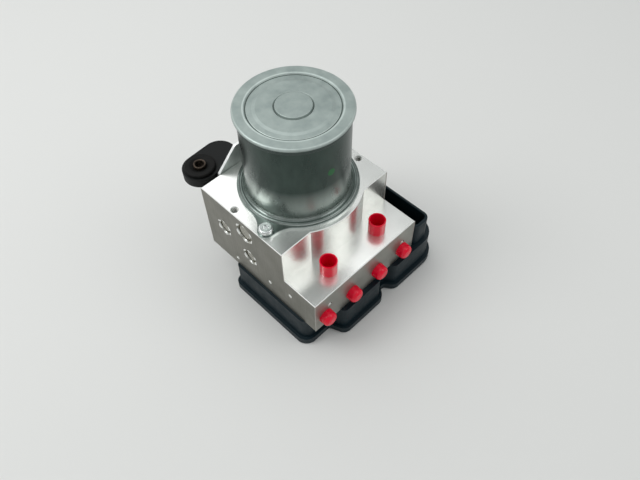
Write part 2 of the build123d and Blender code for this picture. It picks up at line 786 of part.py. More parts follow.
# contacts that carry the current from the control box up to the brushes
with BuildPart() as motor_contacts:
    with BuildSketch(Plane.XY.offset(cover_thickness + board_seat)):
        with Locations(*contact_places):
            Circle(contact_radius)
    extrude(amount=can_base + brush_plate_thickness + 2.0 - cover_thickness - board_seat)
keep(motor_contacts, "motor_contacts")

# ================================================================ control box
box_corners = (
    (-box_left, box_rear, 6.0),
    (-box_left, -box_front, 9.0),
    (-lobe_left_start - lobe_slope, -box_front, 3.0),
    (-lobe_left_start, -lobe_front, 7.0),
    (lobe_left_end, -lobe_front, 8.0),
    (lobe_left_end + lobe_slope, -recess_front, 2.5),
    (lobe_right_start - lobe_slope, -recess_front, 2.5),
    (lobe_right_start, -lobe_front, 8.0),
    (box_right, -lobe_front, 18.0),
    (box_right, box_rear, 6.0),
)


def box_outline(inset):
    """Corners and corner radii of the control box's outline, with every side moved inwards."""
    points, radii = [], []
    for i, (x, y, radius) in enumerate(box_corners):
        last = Vector(*box_corners[i - 1][:2])
        following = Vector(*box_corners[(i + 1) % len(box_corners)][:2])
        here = Vector(x, y)
        arriving = (here - last).normalized()
        leaving = (following - here).normalized()
        across = arriving.rotate(Axis.Z, 90) + leaving.rotate(Axis.Z, 90)
        points.append(here + across * (inset / (1 + arriving.dot(leaving))))
        outwards = 1 if arriving.cross(leaving).Z > 0 else -1
        radii.append(max(radius - outwards * inset, 1.0))
    return points, radii


rim_points, rim_radii = box_outline(0)
wall_points, wall_radii = box_outline(box_rim)
hollow_points, hollow_radii = box_outline(box_rim + box_wall)
with BuildSketch() as rim_plan:
    with BuildLine():
        FilletPolyline(*rim_points, radius=rim_radii, close=True)
    make_face()
with BuildSketch() as wall_plan:
    with BuildLine():
        FilletPolyline(*wall_points, radius=wall_radii, close=True)
    make_face()
with BuildSketch() as hollow_plan:
    with BuildLine():
        FilletPolyline(*hollow_points, radius=hollow_radii, close=True)
    make_face()

socket_left = block_right + socket_gap
socket_x = socket_left + socket_width / 2
socket_y = socket_length / 2 - socket_front
socket_top = box_height + socket_height
blade_pitch = (socket_length - 2 * socket_wall - 8.0) / (pin_columns - 1)
blade_row_pitch = 6.0
socket_floor_z = box_height - 0.6
seal_gap = 0.2
seal_centre = ((block_right - block_left) / 2, (seal_rear - seal_front) / 2)
seal_size = (block_left + block_right - 2 * seal_inset, seal_rear + seal_front)
with BuildPart() as control_box:
    with BuildSketch(Plane.XY.offset(cover_thickness)):
        add(rim_plan.sketch)
    extrude(amount=box_rim_height)
    with BuildSketch(Plane.XY.offset(cover_thickness)):
        add(wall_plan.sketch)
    extrude(amount=box_height - cover_thickness)
    # upright socket beside the block
    with BuildSketch(Plane.XY.offset(box_height)):
        with Locations((socket_x, socket_y)):
            RectangleRounded(socket_width, socket_length, socket_corner)
    extrude(amount=socket_height)
    fillet(control_box.edges().group_by(Axis.Z)[-1], 0.6)
    # hollow for the coils and the circuit board
    with BuildSketch(Plane.XY.offset(cover_thickness)):
        add(hollow_plan.sketch)
        with Locations(*box_screws):
            Circle(pillar_radius, mode=Mode.SUBTRACT)
    extrude(amount=box_height - cover_thickness - box_top_wall, mode=Mode.SUBTRACT)
    # the socket's cavity
    with BuildSketch(Plane.XY.offset(socket_top)):
        with Locations((socket_x, socket_y)):
            RectangleRounded(socket_width - 2 * socket_wall, socket_length - 2 * socket_wall,
                             socket_corner - socket_wall)
    extrude(amount=socket_floor_z - socket_top, mode=Mode.SUBTRACT)
    with BuildSketch(Plane.XY.offset(socket_floor_z)):
        with Locations((socket_x, socket_y)):
            with GridLocations(blade_row_pitch, blade_pitch, pin_rows, pin_columns):
                Rectangle(pin_width + 2 * push_gap, pin_width + 2 * push_gap)
    extrude(amount=-2 * box_top_wall, mode=Mode.SUBTRACT)
    for row_y in valve_rows.values():
        with Locations(*(facing(x, row_y, box_height, UP) for x in valve_x)):
            Hole(dome_radius + loose_gap, 2 * box_top_wall)
    with Locations(*(facing(x, y, box_height, UP) for x, y in contact_places)):
        Hole(contact_radius + loose_gap, 2 * box_top_wall)
    for screw_x, screw_y in box_screws:
        with Locations(facing(screw_x, screw_y, box_height, UP)):
            Hole(box_screw_radius + push_gap, box_height)
        with Locations(facing(screw_x, screw_y, cover_thickness, DOWN)):
            Hole(box_screw_head - 0.6, 4.0)
    # groove for the seal against the block
    with BuildSketch(Plane.XY.offset(box_height)):
        with Locations(seal_centre):
            RectangleRounded(*seal_size, 5.0)
            RectangleRounded(*(size - 2 * seal_width for size in seal_size), 3.0,
                             mode=Mode.SUBTRACT)
    extrude(amount=-seal_depth, mode=Mode.SUBTRACT)
keep(control_box, "control_box")

with BuildPart() as box_seal:
    with BuildSketch(Plane.XY.offset(box_height - seal_depth)):
        with Locations(seal_centre):
            RectangleRounded(*(size - 2 * seal_gap for size in seal_size), 5.0 - seal_gap)
            RectangleRounded(*(size - 2 * (seal_width - seal_gap) for size in seal_size),
                             3.0 + seal_gap, mode=Mode.SUBTRACT)
    extrude(amount=seal_depth)
keep(box_seal, "box_seal")

with BuildPart() as box_cover:
    with BuildSketch():
        add(rim_plan.sketch)
    extrude(amount=cover_thickness)
    chamfer(box_cover.edges().group_by(Axis.Z)[0], 0.8)
    # pads for the circuit board, and holes that the box screws are reached through
    with BuildSketch(Plane.XY.offset(cover_thickness)):
        with Locations(*((x, y) for x in (-30.0, 30.0) for y in (8.0, -50.0))):
            Circle(pad_radius)
    extrude(amount=board_seat)
    with Locations(*(facing(x, y, cover_thickness, UP) for x, y in box_screws)):
        Hole(box_screw_head + 1.0, 2 * cover_thickness)
    # shallow stiffening ribs under the cover
    with BuildSketch():
        with GridLocations(0, 12.0, 1, 4):
            with Locations((-3.0, -22.0)):
                SlotOverall(64.0, 3.0)
    extrude(amount=0.6, mode=Mode.SUBTRACT)
keep(box_cover, "box_cover")

with BuildPart() as circuit_board:
    with BuildSketch(Plane.XY.offset(cover_thickness + board_seat)):
        with Locations(((box_right - box_left) / 2 - 2, box_rear / 2 - box_front / 2)):
            RectangleRounded(box_left + box_right - 22, box_rear + box_front - 16, 3.0)
        with Locations(*box_screws):
            Circle(pillar_radius + 1.0, mode=Mode.SUBTRACT)
        with Locations(*contact_places):
            Circle(contact_radius + push_gap, mode=Mode.SUBTRACT)
    extrude(amount=board_thickness)
keep(circuit_board, "circuit_board")

# blades of the socket, from the circuit board up through the socket's floor
blade_base = cover_thickness + board_seat + board_thickness
with BuildPart() as socket_blades:
    with BuildSketch(Plane.XY.offset(blade_base)):
        with Locations((socket_x, socket_y)):
            with GridLocations(blade_row_pitch, blade_pitch, pin_rows, pin_columns):
                Rectangle(pin_width, pin_width)
    extrude(amount=socket_floor_z + pin_height - blade_base)
    chamfer(socket_blades.edges().group_by(Axis.Z)[-1], 0.3)
keep(socket_blades, "socket_blades")

with BuildPart() as box_screw_set:
    for screw_x, screw_y in box_screws:
        with BuildSketch(Plane.XY.offset(cover_thickness)):
            with Locations((screw_x, screw_y)):
                Circle(box_screw_head - 0.7)
        extrude(amount=4.0)
        with BuildSketch(Plane.XY.offset(cover_thickness + 4.0)):
            with Locations((screw_x, screw_y)):
                Circle(box_screw_radius)
        extrude(amount=box_height + box_screw_depth - cover_thickness - 4.0)
        with BuildSketch(Plane.XY.offset(cover_thickness)):
            with Locations((screw_x, screw_y)):
                RegularPolygon(2.0, 6)
        extrude(amount=2.5, mode=Mode.SUBTRACT)
keep(box_screw_set, "box_screws")

# ================================================================ port plugs
for number, port_x in enumerate(master_port_x, start=1):
    with BuildPart() as master_plug:
        with BuildSketch(upright(port_x, master_port_y)):
            with BuildLine():
                shank = master_port_radius - push_gap
                inside = master_plug_radius - master_plug_wall
                plug_top = step_top + master_plug_height
                Polyline(
                    (0, step_top - master_plug_shank),
                    (shank - 1.0, step_top - master_plug_shank),
                    (shank, step_top - master_plug_shank + 1.5),
                    (shank, step_top),
                    (master_plug_radius - 0.1, step_top),
                    (master_plug_radius, plug_top - 0.3),
                    (master_plug_radius - 0.3, plug_top),
                    (inside + 0.2, plug_top),
                    (inside, plug_top - 0.3),
                    (inside - 0.5, step_top - 1.0),
                    (shank - 1.6, step_top - 2.0),
                    (shank - 1.8, step_top - master_plug_shank + 1.5),
                    (0, step_top - master_plug_shank + 1.5),
                    close=True,
                )
            make_face()
        revolve(axis=Axis((port_x, master_port_y, 0), UP))
    keep(master_plug, f"master_plug_{number}")

for number, port_x in enumerate(wheel_port_x, start=1):
    mouth = facing(port_x, -block_front, wheel_port_z, FRONT)
    with BuildPart() as wheel_plug:
        with BuildSketch(mouth):
            Circle(wheel_plug_radius)
        extrude(amount=wheel_plug_height, taper=3)
        fillet(wheel_plug.faces().sort_by(Axis.Y)[0].edges(), wheel_plug_dome)
        with BuildSketch(mouth):
            Circle(wheel_port_radius - push_gap)
        extrude(amount=-wheel_plug_shank)
        chamfer(wheel_plug.faces().sort_by(Axis.Y)[-1].edges(), 1.0)
    keep(wheel_plug, f"wheel_plug_{number}")

# ================================================================ bracket and rubber mount
plate_bottom = block_bottom + plate_low
plate_top = block_top + plate_rise
screw_places = [(x, bracket_screw_z) for x in bracket_screw_x]
with BuildPart() as bracket_plate:
    with BuildSketch(Plane.XZ.offset(-block_rear)):
        with BuildLine():
            FilletPolyline(
                (-plate_left, plate_bottom),
                (plate_right, plate_bottom),
                (plate_right, block_top),
                (plate_right - plate_slope, plate_top),
                (-plate_left + plate_slope, plate_top),
                (-plate_left, block_top),
                radius=[4.0, 4.0, 2.0, 4.0, 2.5, 1.0],
                close=True,
            )
        make_face()
        with Locations(*screw_places):
            Circle(bracket_screw_radius + screw_gap, mode=Mode.SUBTRACT)
    extrude(amount=-plate_thickness)
keep(bracket_plate, "bracket_plate")

# moulded arm: a foot on the plate, a lobe and the eye round the rubber
foot_face = block_rear + plate_thickness
rubber_top = block_top + mount_rise
eye_top = rubber_top - rubber_upper
with BuildPart() as mount_arm:
    with BuildSketch(Plane.XY.offset(eye_top - eye_thickness)):
        with Locations((mount_x, mount_y)):
            Circle(eye_radius)
        with Locations((arm_x, arm_y)):
            Circle(arm_radius)
        make_hull()
        with Locations((arm_x, (arm_y + foot_face) / 2)):
            Rectangle(2 * arm_radius, arm_y - foot_face)
    extrude(amount=eye_thickness)
    # the lobe reaches further down than the eye and carries the foot
    with BuildSketch(Plane.XY.offset(eye_top - eye_thickness - arm_drop)):
        with Locations((arm_x, arm_y)):
            Circle(arm_radius)
        with Locations((arm_x, (arm_y + foot_face) / 2)):
            Rectangle(2 * arm_radius, arm_y - foot_face)
        with Locations((mount_x, mount_y)):
            Circle(eye_radius, mode=Mode.SUBTRACT)
    extrude(amount=arm_drop)
    with BuildSketch(Plane.XZ.offset(-foot_face)):
        with Locations(((bracket_screw_x[0] + bracket_screw_x[1]) / 2 - 1.5, bracket_screw_z)):
            RectangleRounded(bracket_screw_x[1] - bracket_screw_x[0] + 20.0, foot_height, 4.0)
    extrude(amount=-foot_thickness)
    with Locations(facing(mount_x, mount_y, eye_top, UP)):
        Hole(eye_bore, 2 * eye_thickness)
    with Locations(*(facing(x, foot_face + foot_thickness, z, REAR) for x, z in screw_places)):
        Hole(bracket_screw_radius + screw_gap, 2 * foot_thickness)
    # the web under the lobe is cut back so that a socket reaches the screw behind it
    with BuildSketch(facing(bracket_screw_x[0], foot_face + foot_thickness, bracket_screw_z, REAR)):
        Circle(7.0)
    extrude(amount=40.0, mode=Mode.SUBTRACT)
keep(mount_arm, "mount_arm")

rubber_bottom = eye_top - eye_thickness - rubber_lower
with BuildPart() as mount_rubber:
    with BuildSketch(upright(mount_x, mount_y)):
        with BuildLine():
            waist = eye_bore - push_gap
            FilletPolyline(
                (tube_radius + push_gap, rubber_bottom),
                (rubber_lower_radius, rubber_bottom),
                (rubber_lower_radius, eye_top - eye_thickness - push_gap),
                (waist, eye_top - eye_thickness - push_gap),
                (waist, eye_top + push_gap),
                (rubber_upper_radius, eye_top + push_gap),
                (rubber_upper_radius, rubber_top),
                (tube_radius + 3.0, rubber_top),
                (tube_radius + push_gap, rubber_top - 1.5),
                radius=[0, 1.2, 0.6, 0, 0, 0.6, 1.2, 1.0, 0],
                close=True,
            )
        make_face()
    revolve(axis=Axis((mount_x, mount_y, 0), UP))
keep(mount_rubber, "mount_rubber")

with BuildPart() as mount_tube:
    with BuildSketch(Plane.XY.offset(rubber_bottom - tube_stand)):
        with Locations((mount_x, mount_y)):
            Circle(tube_radius)
            Circle(tube_bore, mode=Mode.SUBTRACT)
    extrude(amount=rubber_top - rubber_bottom + 2 * tube_stand)
    chamfer(mount_tube.edges().filter_by(GeomType.CIRCLE), 0.4)
keep(mount_tube, "mount_tube")

with BuildPart() as bracket_screws:
    head_face = foot_face + foot_thickness
    for screw_x, screw_z in screw_places:
        seat = facing(screw_x, head_face, screw_z, REAR)
        with BuildSketch(seat):
            Circle(6.2)
        extrude(amount=1.2)
        with BuildSketch(seat.offset(1.2)):
            RegularPolygon(5.0, 6)
        extrude(amount=4.0)
        with BuildSketch(seat):
            Circle(bracket_screw_radius - push_gap)
        extrude(amount=-(foot_thickness + plate_thickness + bracket_screw_depth))
keep(bracket_screws, "bracket_screws")
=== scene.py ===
"""Looks of the hydraulic brake control unit: finishes, small surface detail, studio and camera.

Everything is in metres, in the frame of the construction: the origin lies on the motor's axis, on
the face that the unit stands on. +Z runs up the motor's axis, and the wheel ports look along -Y.
"""

import json
from math import cos, pi, radians, sin, tan

import bmesh
import bpy
from mathutils import Matrix, Vector


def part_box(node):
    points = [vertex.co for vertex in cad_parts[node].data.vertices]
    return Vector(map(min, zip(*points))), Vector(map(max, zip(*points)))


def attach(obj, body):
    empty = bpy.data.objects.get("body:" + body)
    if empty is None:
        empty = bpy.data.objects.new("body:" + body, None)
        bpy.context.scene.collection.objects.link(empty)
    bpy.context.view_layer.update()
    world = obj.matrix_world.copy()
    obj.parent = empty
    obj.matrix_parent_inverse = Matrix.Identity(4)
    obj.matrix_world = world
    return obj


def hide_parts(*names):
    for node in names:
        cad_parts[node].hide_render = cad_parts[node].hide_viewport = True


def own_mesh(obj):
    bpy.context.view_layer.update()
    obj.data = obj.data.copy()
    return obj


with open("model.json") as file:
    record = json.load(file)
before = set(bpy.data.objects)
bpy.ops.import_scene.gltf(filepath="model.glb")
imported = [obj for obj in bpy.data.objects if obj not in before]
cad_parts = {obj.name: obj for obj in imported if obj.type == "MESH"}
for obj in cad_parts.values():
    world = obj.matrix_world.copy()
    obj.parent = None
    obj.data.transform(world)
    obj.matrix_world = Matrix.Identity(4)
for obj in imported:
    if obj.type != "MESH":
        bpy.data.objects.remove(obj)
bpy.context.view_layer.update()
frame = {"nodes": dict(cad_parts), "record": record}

MM = 0.001

# ---------------------------------------------------------------- sizes taken from the construction
block_low, block_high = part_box("valve_block")
can_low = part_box("motor_can")[0]
lid_low, lid_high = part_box("motor_lid")
can_radius = 36.0 * MM
boss_height = 0.6                           # how far the lid's boss stands over its rim, in mm
lid_top = lid_high.z - boss_height * MM

# ================================================================ small helpers


def srgb(hex_code):
    """A hex colour as the linear values that shaders take."""
    parts = [int(hex_code[i:i + 2], 16) / 255 for i in (1, 3, 5)]
    linear = [c / 12.92 if c <= 0.04045 else ((c + 0.055) / 1.055) ** 2.4 for c in parts]
    return (*linear, 1.0)


def add_node(tree, kind, inputs=None, **settings):
    """Adds a node; each input takes a value or another node's output."""
    node = tree.nodes.new(kind)
    for name, value in settings.items():
        setattr(node, name, value)
    for key, value in (inputs or {}).items():
        if isinstance(value, bpy.types.NodeSocket):
            tree.links.new(value, node.inputs[key])
        else:
            node.inputs[key].default_value = value
    return node


def finish(name, colour, roughness, metallic=0.0, **shader_values):
    """A material with a plain Principled surface, and its tree and shader for adding a pattern."""
    material = bpy.data.materials.new(name)
    material.use_nodes = True
    tree = material.node_tree
    shader = tree.nodes["Principled BSDF"]
    shader.inputs["Base Color"].default_value = srgb(colour)
    shader.inputs["Roughness"].default_value = roughness
    shader.inputs["Metallic"].default_value = metallic
    for name_of_input, value in shader_values.items():
        shader.inputs[name_of_input.replace("_", " ")].default_value = value
    return material, tree, shader


def grain(tree, size_mm, stretch=(1.0, 1.0, 1.0), detail=3.0, roughness=0.55):
    """Noise whose grains are size_mm across, stretched along the axes; returns its factor."""
    place = add_node(tree, "ShaderNodeTexCoord")
    scale = [1.0 / (size_mm * MM * s) for s in stretch]
    mapping = add_node(tree, "ShaderNodeMapping",
                       {"Vector": place.outputs["Object"], "Scale": scale})
    noise = add_node(tree, "ShaderNodeTexNoise",
                     {"Vector": mapping.outputs["Vector"], "Scale": 1.0, "Detail": detail,
                      "Roughness": roughness})
    return noise.outputs["Fac"]


def spread(tree, factor, low, high, from_low=0.3, from_high=0.7):
    """A factor mapped from its usual span to low..high."""
    node = add_node(tree, "ShaderNodeMapRange",
                    {"Value": factor, "From Min": from_low, "From Max": from_high,
                     "To Min": low, "To Max": high})
    return node.outputs["Result"]


def tint(tree, factor, colour_a, colour_b):
    """A colour between two, by a factor."""
    node = add_node(tree, "ShaderNodeMix", {"Factor": factor}, data_type="RGBA")
    node.inputs[6].default_value = srgb(colour_a)
    node.inputs[7].default_value = srgb(colour_b)
    return node.outputs[2]


def relief(tree, shader, height, depth_mm):
    """Lets a factor stand out of the surface."""
    bump = add_node(tree, "ShaderNodeBump",
                    {"Height": height, "Distance": depth_mm * MM, "Strength": 1.0})
    tree.links.new(bump.outputs["Normal"], shader.inputs["Normal"])


def product(tree, factor_a, factor_b):
    """1 where both factors are 1."""
    return add_node(tree, "ShaderNodeMath", {0: factor_a, 1: factor_b},
                    operation="MULTIPLY").outputs[0]


def upward(tree, low=0.4, high=0.8):
    """0 on faces that look sideways, 1 on faces that look up."""
    normal = add_node(tree, "ShaderNodeNewGeometry").outputs["Normal"]
    parts = add_node(tree, "ShaderNodeSeparateXYZ", {"Vector": normal})
    return spread(tree, parts.outputs["Z"], 0.0, 1.0, low, high)


def sideways(tree, axis, low, high):
    """1 on faces that look either way along an axis, 0 on the others."""
    normal = add_node(tree, "ShaderNodeNewGeometry").outputs["Normal"]
    parts = add_node(tree, "ShaderNodeSeparateXYZ", {"Vector": normal})
    size = add_node(tree, "ShaderNodeMath", {0: parts.outputs[axis]}, operation="ABSOLUTE")
    return spread(tree, size.outputs[0], 0.0, 1.0, low, high)


def blend(tree, factor, colour_a, colour_b):
    """A colour between two colours that come from other nodes."""
    node = add_node(tree, "ShaderNodeMix", {"Factor": factor, 6: colour_a, 7: colour_b},
                    data_type="RGBA")
    return node.outputs[2]


def between(tree, factor, value_a, value_b):
    """A value between two values that come from other nodes."""
    return add_node(tree, "ShaderNodeMix", {"Factor": factor, "A": value_a, "B": value_b},
                    data_type="FLOAT").outputs[0]


def place_factor(tree, axis, zero_at, one_at):
    """0 at one coordinate and 1 at another."""
    place = add_node(tree, "ShaderNodeTexCoord")
    parts = add_node(tree, "ShaderNodeSeparateXYZ", {"Vector": place.outputs["Object"]})
    return spread(tree, parts.outputs[axis], 0.0, 1.0, zero_at, one_at)


def radius_factor(tree, zero_at, one_at):
    """0 at one distance from the motor's axis and 1 at another."""
    place = add_node(tree, "ShaderNodeTexCoord")
    flat = add_node(tree, "ShaderNodeVectorMath",
                    {0: place.outputs["Object"], 1: (1.0, 1.0, 0.0)}, operation="MULTIPLY")
    length = add_node(tree, "ShaderNodeVectorMath", {0: flat.outputs["Vector"]},
                      operation="LENGTH")
    return spread(tree, length.outputs["Value"], 0.0, 1.0, zero_at, one_at)


# ================================================================ materials

# machined aluminium with faint parallel milling marks; the top and the step are painted lighter
# than the sides as painted light from above, the two ends and the port face are rougher and painted
# darker as painted shade, and the chamfers carry a painted highlight
machined_aluminium, tree, shader = finish("milled aluminium", "#e9eae6", 0.25, 0.85)
marks = grain(tree, 0.5, (60.0, 1.0, 60.0))
cloud = grain(tree, 16.0, detail=4.0)
cloud_factor = spread(tree, cloud, 0, 1)
ends = sideways(tree, "X", 0.6, 0.9)
port_face = place_factor(tree, "Y", block_low.y + 0.5 * MM, block_low.y + 0.1 * MM)
dull = add_node(tree, "ShaderNodeMath", {0: ends, 1: port_face}, operation="MAXIMUM").outputs[0]
# painted light: faces that look up are painted lighter than faces that look sideways
shaded_block_side = tint(tree, cloud_factor, "#dadbd6", "#e6e7e3")
lit_block_top = tint(tree, cloud_factor, "#e6e7e4", "#f0f1ee")
milled = blend(tree, upward(tree), shaded_block_side, lit_block_top)
# painted shade: the port face and the two ends are painted darker
port_face_shade = tint(tree, cloud_factor, "#92928b", "#a3a39c")
end_face_shade = tint(tree, cloud_factor, "#7a7971", "#8b8981")
outside = blend(tree, port_face, milled, port_face_shade)
bulk = blend(tree, ends, outside, end_face_shade)
# painted highlight: the chamfers are painted near white and made less metallic, so they stay bright
# under any lamp
chamfers = product(tree, upward(tree, 0.5, 0.62), upward(tree, 0.9, 0.8))
bright = tint(tree, cloud_factor, "#f6f7f4", "#fcfcfa")
tree.links.new(blend(tree, chamfers, bulk, bright), shader.inputs["Base Color"])
tree.links.new(spread(tree, chamfers, 0.85, 0.3, 0.0, 1.0), shader.inputs["Metallic"])
tree.links.new(between(tree, dull, spread(tree, marks, 0.24, 0.27),
                       spread(tree, marks, 0.36, 0.48)), shader.inputs["Roughness"])
relief(tree, shader, marks, 0.0005)

# the same aluminium where a punch has turned it up, bright, and where a scraper broke an edge
burred_aluminium = finish("punched aluminium", "#f2f3f0", 0.2, 0.85)[0]
scraped_aluminium = finish("scraped aluminium", "#b4b3ad", 0.3, 0.7)[0]

# the balls that close the cross drillings: painted near white and only partly metallic, a painted
# highlight that shines under any lamp
highlit_ball_steel = finish("peened steel", "#f6f7f4", 0.3, 0.35)[0]

# turned steel closures, pressed in and staked: bright, with faint turning marks
closure_steel, tree, shader = finish("turned steel", "#a6a49a", 0.3, 1.0)
tree.links.new(spread(tree, grain(tree, 1.2), 0.2, 0.4), shader.inputs["Roughness"])

# drawn steel can under a thin grey-green passivated coat: satin and slightly cloudy on the wall;
# the lower wall is painted lighter towards the flange, a painted reflection of the block's bright
# top, and the flange is painted lighter and smoother, with a painted highlight on its sideways
# edges and bead
coated_can, tree, shader = finish("passivated drawn steel", "#46524e", 0.36, 0.85)
cloud = grain(tree, 9.0, (1.0, 1.0, 2.5), detail=4.0)
cloud_factor = spread(tree, cloud, 0, 1)
wall_colour = tint(tree, cloud_factor, "#35413d", "#43504b")
lower_wall_reflection = tint(tree, cloud_factor, "#a2aca7", "#b2bbb6")
flange_colour = tint(tree, cloud_factor, "#646e6a", "#77817d")
reflection_fades_out_at, reflection_strongest_at = can_low.z + 28.0 * MM, can_low.z + 7.0 * MM
flange_top, flange_bottom = can_low.z + 4.4 * MM, can_low.z + 3.6 * MM
# painted reflection: the wall is painted lighter from 28 mm down to 7 mm over the can's foot
wall = blend(tree, place_factor(tree, "Z", reflection_fades_out_at, reflection_strongest_at), wall_colour, lower_wall_reflection)
# below the flange's top the can is painted lighter and made smoother; faces that look sideways
# there are painted brightest, a painted highlight
flange_zone = place_factor(tree, "Z", flange_top, flange_bottom)
flange_edge_highlight = tint(tree, cloud_factor, "#c4cbc7", "#d6dbd8")
flange = blend(tree, upward(tree, 0.2, 0.9), flange_edge_highlight, flange_colour)
tree.links.new(blend(tree, flange_zone, wall, flange), shader.inputs["Base Color"])
tree.links.new(between(tree, flange_zone, spread(tree, cloud, 0.24, 0.34),
                       spread(tree, cloud, 0.16, 0.24)), shader.inputs["Roughness"])

# the lid's coat: as dark as the can on its skirt; the top disc is painted lighter as painted light
# from above, lightest as a painted highlight on the rim's rounding and on the crown beside the ring
# groove, and dark as painted shade down in the grooves
coated_lid, tree, shader = finish("passivated pressed steel", "#87918d", 0.42, 0.5)
cloud = grain(tree, 8.0, detail=5.0)
cloud_factor = spread(tree, cloud, 0, 1)
skirt_colour = tint(tree, cloud_factor, "#333f3c", "#414d49")
# painted light: the top disc is painted lighter than the skirt
lit_lid_top = tint(tree, cloud_factor, "#8c9895", "#a2ada9")
lid_rim_highlight = tint(tree, cloud_factor, "#abb6b2", "#bec9c5")
lid_groove_shade = tint(tree, cloud_factor, "#46524e", "#56625e")
lid_crown_highlight = tint(tree, cloud_factor, "#b2beba", "#c2cdc9")
groove_lip, groove_bed = lid_top - 0.85 * MM, lid_top - 1.0 * MM
rim_outside, rim_inside = 35.0 * MM, 33.0 * MM
crown_inside = (30.0 * MM, 30.4 * MM)
crown_outside = (31.7 * MM, 31.1 * MM)
skirt_top, disc_foot = lid_top - 2.3 * MM, lid_top - 1.9 * MM
# painted highlight: faces tilted between flat and upright, on the rim's rounding and edges, are
# painted lighter
rounding = product(tree, upward(tree, 0.1, 0.4), upward(tree, 0.995, 0.93))
# painted shade: down in the ring groove and the boss's groove the lid is painted dark
grooves = product(tree, place_factor(tree, "Z", groove_lip, groove_bed),
                  radius_factor(tree, rim_outside, rim_inside))
# painted highlight: the crown ring beside the ring groove is painted lightest
crown = product(tree, radius_factor(tree, *crown_inside), radius_factor(tree, *crown_outside))
disc = place_factor(tree, "Z", skirt_top, disc_foot)
upper = blend(tree, rounding, lit_lid_top, lid_rim_highlight)
upper = blend(tree, grooves, upper, lid_groove_shade)
upper = blend(tree, crown, upper, lid_crown_highlight)
tree.links.new(blend(tree, disc, skirt_colour, upper), shader.inputs["Base Color"])
tree.links.new(spread(tree, cloud, 0.34, 0.48), shader.inputs["Roughness"])

# zinc-plated steel screws: bluish white and bright
zinc_plate, tree, shader = finish("zinc-plated steel", "#e0e3e2", 0.24, 1.0)
tree.links.new(spread(tree, grain(tree, 2.5), 0.18, 0.28), shader.inputs["Roughness"])

# the bracket: the same plating on rolled sheet, greyer on its faces; its cut edges are painted near
# white, a painted highlight
zinc_sheet, tree, shader = finish("zinc-plated steel sheet", "#cdd0ce", 0.34, 0.6)
rolled = tint(tree, spread(tree, grain(tree, 6.0), 0, 1), "#a9adab", "#bdc1bf")
plate_edge_highlight = tint(tree, spread(tree, grain(tree, 1.0), 0, 1), "#f0f2f0", "#fafbfa")
tree.links.new(blend(tree, sideways(tree, "Y", 0.4, 0.8), plate_edge_highlight, rolled),
               shader.inputs["Base Color"])
tree.links.new(spread(tree, grain(tree, 2.5), 0.3, 0.42), shader.inputs["Roughness"])

# the isolator's tube: phosphated steel, brown-grey and dull
phosphated_steel, tree, shader = finish("phosphated steel", "#4a4038", 0.4, 0.85)
tree.links.new(tint(tree, spread(tree, grain(tree, 1.5), 0, 1), "#332c26", "#5f5349"),
               shader.inputs["Base Color"])

# port plugs: injection-moulded polyethylene dyed crimson, waxy gloss
plug_red, tree, shader = finish("moulded red polyethylene", "#ea002e", 0.12, 0.0,
                                IOR=1.5, Specular_IOR_Level=0.38)
tree.links.new(tint(tree, spread(tree, grain(tree, 5.0), 0, 1), "#e4002a", "#f20434"),
               shader.inputs["Base Color"])

# control box: glass-filled polyamide, moulded, blue-black, satin, with a fine eroded grain
box_plastic, tree, shader = finish("glass-filled polyamide", "#091d24", 0.5, 0.0,
                                   IOR=1.5, Specular_IOR_Level=0.26)
tree.links.new(spread(tree, grain(tree, 8.0), 0.42, 0.56), shader.inputs["Roughness"])
relief(tree, shader, grain(tree, 0.7, detail=2.0), 0.008)

# bracket arm: the same plastic without the blue
arm_plastic, tree, shader = finish("moulded polyamide", "#0a0d0d", 0.55, 0.0,
                                   IOR=1.5, Specular_IOR_Level=0.25)
relief(tree, shader, grain(tree, 0.8), 0.012)

# isolator and seals: carbon-filled natural rubber, matt with a faint bloom
black_rubber, tree, shader = finish("moulded rubber", "#0a0b0b", 0.62, 0.0,
                                     IOR=1.5, Specular_IOR_Level=0.2)
tree.links.new(tint(tree, spread(tree, grain(tree, 3.0), 0, 1), "#060807", "#100f0e"),
               shader.inputs["Base Color"])

# inner pieces: ground, drawn, wound and sintered
ground_steel = finish("ground steel", "#bcbdbb", 0.2, 1.0)[0]
drawn_wire = finish("drawn spring wire", "#84868a", 0.3, 1.0)[0]
core_steel = finish("stacked laminations", "#4b4b50", 0.55, 0.8)[0]
copper_wire = finish("enamelled copper wire", "#a5542c", 0.3, 0.9)[0]
ferrite = finish("sintered ferrite", "#232325", 0.6)[0]
carbon = finish("pressed carbon", "#1c1c1c", 0.55)[0]
tinned_brass = finish("tinned brass", "#c9b787", 0.25, 1.0)[0]
board = finish("glass-fibre board", "#1b4a2c", 0.45)[0]
anodised = finish("anodised aluminium", "#b0b1b0", 0.35, 1.0)[0]

# a dot left by the inspector's marker: thin green paint
green_paint = finish("green marking paint", "#05602b", 0.5)[0]

material_of_slot = {
    "machined_aluminium": machined_aluminium,
    "closure_steel": closure_steel,
    "coated_steel_can": coated_can,
    "coated_steel_lid": coated_lid,
    "screw_steel": zinc_plate,
    "red_plug_plastic": plug_red,
    "black_plastic": box_plastic,
    "zinc_steel": zinc_sheet,
    "arm_plastic": arm_plastic,
    "black_rubber": black_rubber,
    "spring_steel": drawn_wire,
    "ground_steel": ground_steel,
    "valve_steel": ground_steel,
    "core_steel": core_steel,
    "copper": copper_wire,
    "ferrite": ferrite,
    "carbon": carbon,
    "moulding_plastic": arm_plastic,
    "contact_brass": tinned_brass,
    "board_plastic": board,
    "piston_aluminium": anodised,
}
slot_of_node = {s["node"]: s["material_slot"] for s in frame["record"]["subparts"]}
for node, cad_object in frame["nodes"].items():
    cad_object.data.materials.clear()
    cad_object.data.materials.append(material_of_slot[slot_of_node[node]])

